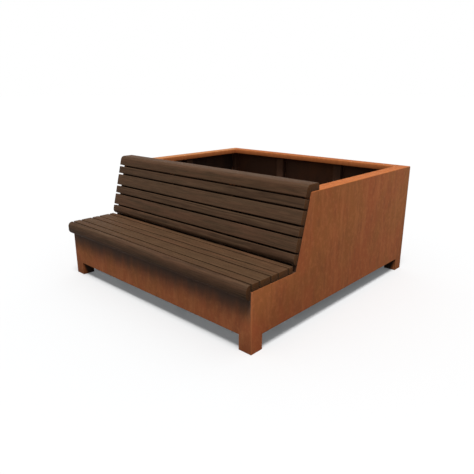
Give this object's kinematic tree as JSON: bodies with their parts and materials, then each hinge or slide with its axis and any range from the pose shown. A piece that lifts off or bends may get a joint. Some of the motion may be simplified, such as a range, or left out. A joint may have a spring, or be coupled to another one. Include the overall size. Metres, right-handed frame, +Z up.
{
  "type": "bench with planter",
  "caption": "Square weathering-steel planter box on corner feet, with a slatted hardwood bench with a leaning back and a rounded cap built into its front side.",
  "frame": {"origin": "on the ground, in the middle of the overall width and of the overall depth, from the nose of the seat to the rear wall", "axes": "+X to the right along the seat, as seen from in front of it; +Y from the seat to the back of the planter; +Z up"},
  "size_m": [2, 2.046, 0.9483],
  "materials": {
    "weathering_steel": "matte",
    "hardwood": "matte",
    "zinc_plated_steel": "satin"
  },
  "bodies": {
    "root": {"front_wall": "weathering_steel", "rear_wall": "weathering_steel", "planter_front_wall": "weathering_steel", "planter_floor": "weathering_steel", "floor_bearer_1": "weathering_steel", "floor_bearer_2": "weathering_steel", "floor_bearer_3": "weathering_steel", "floor_bearer_4": "weathering_steel", "seat_slat_1": "hardwood", "seat_slat_2": "hardwood", "seat_slat_3": "hardwood", "seat_slat_4": "hardwood", "seat_slat_5": "hardwood", "back_slat_1": "hardwood", "back_slat_2": "hardwood", "back_slat_3": "hardwood", "back_slat_4": "hardwood", "back_slat_5": "hardwood", "left_side_wall": "weathering_steel", "front_left_post": "weathering_steel", "rear_left_post": "weathering_steel", "front_left_foot_return": "weathering_steel", "rear_left_foot_return": "weathering_steel", "front_left_foot_plate": "weathering_steel", "rear_left_foot_plate": "weathering_steel", "rear_left_stiffener": "weathering_steel", "side_left_stiffener": "weathering_steel", "left_seat_rail": "weathering_steel", "left_back_rail": "weathering_steel", "left_seat_bearer": "weathering_steel", "left_back_bearer": "weathering_steel", "right_side_wall": "weathering_steel", "front_right_post": "weathering_steel", "rear_right_post": "weathering_steel", "front_right_foot_return": "weathering_steel", "rear_right_foot_return": "weathering_steel", "front_right_foot_plate": "weathering_steel", "rear_right_foot_plate": "weathering_steel", "rear_right_stiffener": "weathering_steel", "side_right_stiffener": "weathering_steel", "right_seat_rail": "weathering_steel", "right_back_rail": "weathering_steel", "right_seat_bearer": "weathering_steel", "right_back_bearer": "weathering_steel", "seat_nose_slat": "hardwood", "back_cap_slat": "hardwood", "nose_screw_1": "zinc_plated_steel", "nose_spacer_1": "zinc_plated_steel", "nose_screw_2": "zinc_plated_steel", "nose_spacer_2": "zinc_plated_steel", "nose_screw_3": "zinc_plated_steel", "nose_spacer_3": "zinc_plated_steel", "nose_screw_4": "zinc_plated_steel", "nose_spacer_4": "zinc_plated_steel", "cap_screw_1": "zinc_plated_steel", "cap_screw_2": "zinc_plated_steel", "cap_screw_3": "zinc_plated_steel", "cap_screw_4": "zinc_plated_steel"}
  },
  "joints": []
}
